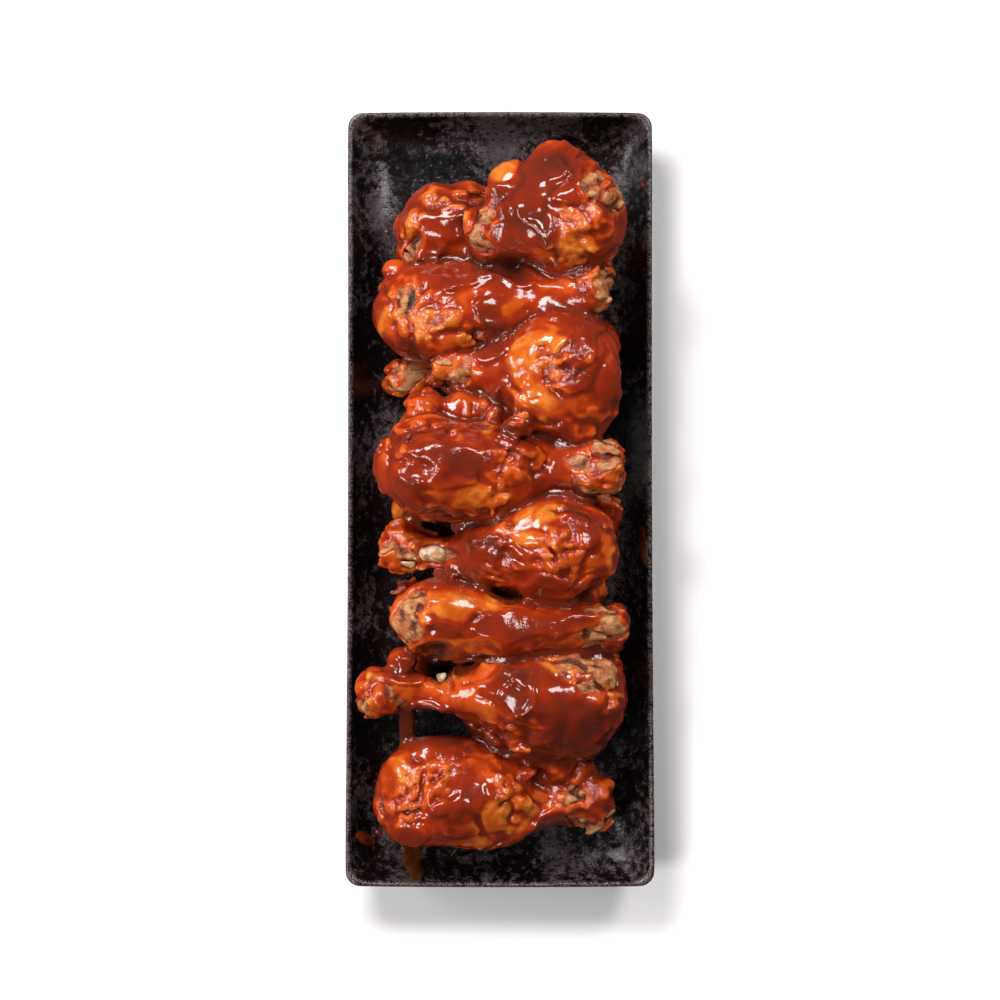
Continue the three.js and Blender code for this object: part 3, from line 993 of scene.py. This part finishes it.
class PLATTER_OT_sauce(bpy.types.Operator):
    """Pours the sauce over the heap"""

    bl_idname = "platter.sauce"
    bl_label = "Sauce"

    def execute(self, context):
        block, skin, masks = Heap.union()
        field, looks = self.pour(block, skin, masks, context.scene.platter_sauce)
        points, faces = surface(block, field)
        depth = sample(block, skin, points)
        # Steep sides and undersides are coloured as deeper sauce: painted shade.
        side_shade = smoothstep(0.8, 0.2, sample(block, looks.pop("rise"), points))
        attributes = {key: sample(block, values, points) for key, values in looks.items()}
        attributes["depth"] = np.clip((depth + 0.9 * MM * side_shade) / (4 * MM), 0, 1)
        attributes["hollow"] = -sample(block, blur(field, 1.5), points) / MM
        faces = faces[(depth[faces] > -COVER).any(axis=1)]
        faces = faces[largest_parts(len(points), faces, LEAST_SAUCE)]
        material = sauce_material()
        middle = points[faces].mean(1)[:, 1]
        for part, (low, high) in enumerate(zip(SAUCE_CUTS, SAUCE_CUTS[1:]), 1):
            here = faces[(middle >= low) & (middle < high)]
            piece = make_piece(f"sauce_{part}", points, here, material, attributes)
            simplify(piece, np.full(len(piece.data.vertices), True), SAUCE_SHARE)
        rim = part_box("dish")[1].z
        for stick in Heap.sticks:
            points, _ = mesh_triangles(stick.piece.data)
            under = points[:, 2] < HIDDEN_HEIGHT * rim
            covered = sample(block, field, points) < -COVER
            simplify(stick.piece, under | covered, HIDDEN_SHARE)
        return {"FINISHED"}

    def pour(self, block, skin, masks, settings):
        """The sauce's field, and the fields that its looks depend on."""
        fine = blur(skin, 0.6)
        close = blur(skin, 1.2)
        wide = blur(skin, 3.0)
        gap = blur(masks["gap"], 1.2)
        filled = blur(close_crevices(block, close, settings.fillet), 0.8) + 6 * MM * gap
        bare = blur(masks["bare"], 0.7)
        thin = blur(masks["thin"], 1.5)
        rough = blur(masks["rough"], 1.0)
        pour = blur(masks["pour"], 1.6)
        slope = np.gradient(spread(filled, 2.4), VOXEL)
        rise = slope[2] / (np.sqrt(slope[0] ** 2 + slope[1] ** 2 + slope[2] ** 2) + 0.1)
        valley = smoothstep(0.2 * MM, 1.6 * MM, close - filled)
        pour = np.maximum(pour, valley * (1 - 0.5 * thin)) * smoothstep(-0.5, 0.2, rise)
        level = close + (fine - close) * np.maximum(rough, 0.5 * thin)
        lying = np.minimum(close, wide + 0.2 * MM)
        level = level + (lying - level) * smoothstep(0.2, 0.7, pour)
        level = np.minimum(level, filled + 0.9 * MM)
        swell = noise(block, 9, 73, (1.5, 1, 1))
        wave = noise(block, 5, 79, (1.4, 1, 1))
        lively = 0.1 + 0.9 * smoothstep(-0.1, 0.8, noise(block, 12, 78) + 0.5 * rough)
        lively *= 0.2 + 0.8 * smoothstep(0.1, 0.6, rise)
        ripple = noise(block, 3.0, 75, (1.2, 1, 1)) * lively
        crest = crease(noise(block, 13, 77, (1.5, 1, 1)), 0.16)
        runs = noise(block, 6, 74, (1, 1, 4))
        edge = 0.2 + 0.3 * smoothstep(-0.6, 0.6, noise(block, 11, 76))
        thick = settings.film * (1 - 0.6 * thin)
        thick += settings.pour * smoothstep(0.5 - edge, 0.5 + edge, pour + 0.2 * wave)
        thick += 0.4 * MM * swell * (0.25 + 0.75 * pour) + 0.3 * MM * ripple * (1 - 0.4 * pour)
        thick += 0.45 * MM * wave * (0.15 + 0.85 * lively) * (1 - 0.2 * thin)
        thick += 0.6 * MM * crest * (0.1 + 0.9 * pour) * lively + 1.5 * MM * blur(masks["crest"], 0.6)
        thick -= (settings.film + 1.0 * MM) * smoothstep(0.25, 0.6, bare + 0.15 * ripple)
        thick -= 1.5 * MM * smoothstep(0.3, -0.3, rise) * smoothstep(-0.3, 0.3, -runs) * (1 - valley)
        thick -= 2.5 * MM * smoothstep(-0.1, -0.45, rise) + 4.5 * MM * gap
        missing = np.maximum(np.maximum(bare, gap) + 0.15 * ripple - 0.25, -0.8 * rise)
        clinging = 0.12 * MM - 3.0 * MM * np.clip(missing, 0, 1)
        field = np.minimum(level - thick, skin - clinging)
        for string in STRINGS:
            field = self.join(field, self.string(block, *string) - 0.3 * MM * ripple, 2.5 * MM)
        return field, {"rise": rise, "thin": thin, "rough": rough, "pool": valley}

    @staticmethod
    def string(block, upper, along, across, lower, far_along, far_across, width):
        """The distance from a string of sauce between two drumsticks, which narrows on its way."""
        sticks = {stick.node: stick for stick in Heap.sticks}
        start = sticks[upper].place(along, across)
        run = sticks[lower].place(far_along, far_across) - start
        offset = [values - begin for values, begin in zip(block.axes(), start)]
        share = np.clip(sum(o * r for o, r in zip(offset, run)) / (run @ run), 0, 1)
        away = np.sqrt(sum((o - share * r) ** 2 for o, r in zip(offset, run)))
        return away - 0.5 * width * MM * (1 - 0.35 * share)

    @staticmethod
    def join(one, other, fillet):
        """The union of two fields, with a fillet where they meet."""
        blend = np.clip(0.5 + 0.5 * (other - one) / fillet, 0, 1)
        return other + (one - other) * blend - fillet * blend * (1 - blend)


class PLATTER_OT_stage(bpy.types.Operator):
    """Sets out the floor, the lights and the camera"""

    bl_idname = "platter.stage"
    bl_label = "Stage"

    def execute(self, context):
        settings = context.scene.platter_studio
        scene = context.scene
        bpy.ops.mesh.primitive_plane_add(size=FLOOR_SIZE, location=(0, 0, 0))
        floor = context.active_object
        floor.name = "studio_floor"
        sheet = Sheet("white paper")
        paper = {"Base Color": (0.95, 0.95, 0.95), "Roughness": 0.8, "Specular IOR Level": 0.2}
        floor.data.materials.append(sheet.finish(paper))
        floor.visible_glossy = False  # as when black cards keep the bright table out of the sauce

        world = bpy.data.worlds.new("studio")
        scene.world = world
        world.use_nodes = True
        back = world.node_tree.nodes["Background"]
        back.inputs["Color"].default_value = (1, 1, 1, 1)
        back.inputs["Strength"].default_value = 0.055

        boxes = [
            ("softbox_back", (-0.45, 0.75, 0.95), 0.62, 0.38),
            ("softbox_side", (0.66, 0.62, 0.9), 0.34, 0.46),
            ("softbox_front", (-0.6, -0.5, 0.95), 0.36, 0.36),
            ("softbox_low", (-1.0, 0.05, 0.5), 0.36, 0.22),
        ]
        for (name, place, width, height), power in zip(boxes, settings.powers):
            data = bpy.data.lights.new(name, "AREA")
            data.shape = "RECTANGLE"
            data.size = width
            data.size_y = height
            data.energy = power
            data.color = (1, 0.965, 0.985)
            light = bpy.data.objects.new(name, data)
            light.location = place
            light.rotation_euler = (-Vector(place)).to_track_quat("-Z", "Y").to_euler()
            scene.collection.objects.link(light)

        lens = bpy.data.cameras.new("camera")
        lens.sensor_width = 36
        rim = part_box("dish")[1].z
        lens.lens = lens.sensor_width * (settings.distance - rim) / VIEW_WIDTH
        camera = bpy.data.objects.new("camera", lens)
        aim = Vector((0, AIM_Y, rim))
        way = Vector((0, -math.sin(settings.tilt), math.cos(settings.tilt)))
        camera.location = aim + way * (settings.distance - rim)
        camera.rotation_euler = (settings.tilt, 0, 0)
        scene.collection.objects.link(camera)
        scene.camera = camera
        scene.view_settings.view_transform = "Standard"
        return {"FINISHED"}


class PLATTER_PT_panel(bpy.types.Panel):
    bl_label = "Glazed Drumstick Platter"
    bl_space_type = "VIEW_3D"
    bl_region_type = "UI"
    bl_category = "Platter"

    def draw(self, context):
        for operator in OPERATORS:
            self.layout.operator(operator.bl_idname)
        for group in GROUPS:
            settings = getattr(context.scene, group)
            for key in settings.bl_rna.properties.keys():
                if key not in ("rna_type", "name"):
                    self.layout.prop(settings, key)


OPERATORS = [
    PLATTER_OT_stage, PLATTER_OT_dish, PLATTER_OT_spills, PLATTER_OT_drumsticks, PLATTER_OT_sauce,
]
GROUPS = {
    "platter_drumsticks": DrumstickSettings,
    "platter_sauce": SauceSettings,
    "platter_studio": StudioSettings,
}


CLASSES = [*GROUPS.values(), *OPERATORS, PLATTER_PT_panel]


def register():
    for cls in CLASSES:
        bpy.utils.register_class(cls)
    for name, cls in GROUPS.items():
        setattr(bpy.types.Scene, name, bpy.props.PointerProperty(type=cls))


def unregister():
    for name in GROUPS:
        delattr(bpy.types.Scene, name)
    for cls in reversed(CLASSES):
        bpy.utils.unregister_class(cls)


def main():
    register()
    bpy.ops.platter.stage()
    bpy.ops.platter.dish()
    bpy.ops.platter.spills()
    bpy.ops.platter.drumsticks()
    bpy.ops.platter.sauce()


if __name__ == "__main__":
    main()
